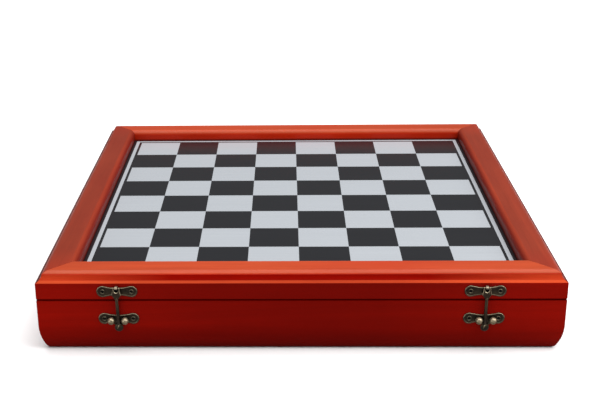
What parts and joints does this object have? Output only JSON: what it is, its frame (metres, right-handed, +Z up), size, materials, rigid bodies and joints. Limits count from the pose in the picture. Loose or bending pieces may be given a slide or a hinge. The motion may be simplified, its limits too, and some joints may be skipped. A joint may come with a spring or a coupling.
{
  "type": "chess set with board",
  "caption": "Square lacquered case whose hinged lid is a framed chessboard; hook latches hold it shut over trays of turned chess pieces.",
  "frame": {"origin": "middle of the case's footprint, on the surface it stands on", "axes": "+X to the right of the player who faces the latches, +Y towards the hinges, +Z up out of the playing surface"},
  "size_m": [0.393, 0.4033, 0.0633],
  "materials": {
    "lacquered_wood": "satin-gloss red-orange lacquer",
    "board_print": "satin printed laminate",
    "core_board": "bare fibreboard",
    "panel_board": "sealed plywood",
    "felt": "green felt",
    "flocking": "green flocked foam",
    "antique_bronze": "antique bronze, rubbed bright on the high spots",
    "light_piece_wood": "varnished light wood",
    "dark_piece_wood": "varnished dark-stained wood"
  },
  "bodies": {
    "base": {"back_tray": "flocking", "base_back_wall": "lacquered_wood", "base_front_wall": "lacquered_wood", "base_left_wall": "lacquered_wood", "base_nails": "antique_bronze", "base_panel": "panel_board", "base_right_wall": "lacquered_wood", "catch_studs": "antique_bronze", "dark_bishop_c": "dark_piece_wood", "dark_bishop_f": "dark_piece_wood", "dark_king": "dark_piece_wood", "dark_knight_b": "dark_piece_wood", "dark_knight_g": "dark_piece_wood", "dark_pawn_a": "dark_piece_wood", "dark_pawn_b": "dark_piece_wood", "dark_pawn_c": "dark_piece_wood", "dark_pawn_d": "dark_piece_wood", "dark_pawn_e": "dark_piece_wood", "dark_pawn_f": "dark_piece_wood", "dark_pawn_g": "dark_piece_wood", "dark_pawn_h": "dark_piece_wood", "dark_queen": "dark_piece_wood", "dark_rook_a": "dark_piece_wood", "dark_rook_h": "dark_piece_wood", "front_tray": "flocking", "hinge_pins": "antique_bronze", "left_catch_plate": "antique_bronze", "left_hinge_base_leaf": "antique_bronze", "light_bishop_c": "light_piece_wood", "light_bishop_f": "light_piece_wood", "light_king": "light_piece_wood", "light_knight_b": "light_piece_wood", "light_knight_g": "light_piece_wood", "light_pawn_a": "light_piece_wood", "light_pawn_b": "light_piece_wood", "light_pawn_c": "light_piece_wood", "light_pawn_d": "light_piece_wood", "light_pawn_e": "light_piece_wood", "light_pawn_f": "light_piece_wood", "light_pawn_g": "light_piece_wood", "light_pawn_h": "light_piece_wood", "light_queen": "light_piece_wood", "light_rook_a": "light_piece_wood", "light_rook_h": "light_piece_wood", "right_catch_plate": "antique_bronze", "right_hinge_base_leaf": "antique_bronze"},
    "lid": {"board_core": "core_board", "board_sheet": "board_print", "left_hinge_lid_leaf": "antique_bronze", "left_hook_plate": "antique_bronze", "lid_back_rail": "lacquered_wood", "lid_front_rail": "lacquered_wood", "lid_left_rail": "lacquered_wood", "lid_lining": "felt", "lid_nails": "antique_bronze", "lid_right_rail": "lacquered_wood", "right_hinge_lid_leaf": "antique_bronze", "right_hook_plate": "antique_bronze"},
    "left_hook": {"left_hook": "antique_bronze"},
    "right_hook": {"right_hook": "antique_bronze"}
  },
  "joints": [
    {"name": "lid_hinge", "type": "hinge", "parent": "base", "child": "lid", "pos_m": [0, 0.199, 0.04225], "axis": [-1, 0, 0], "range_deg": [0, 110]},
    {"name": "left_hook_swing", "type": "hinge", "parent": "lid", "child": "left_hook", "pos_m": [-0.1359, -0.1989, 0.0526], "axis": [-1, 0, 0], "range_deg": [0, 165]},
    {"name": "right_hook_swing", "type": "hinge", "parent": "lid", "child": "right_hook", "pos_m": [0.137, -0.1989, 0.0526], "axis": [-1, 0, 0], "range_deg": [0, 165]}
  ]
}
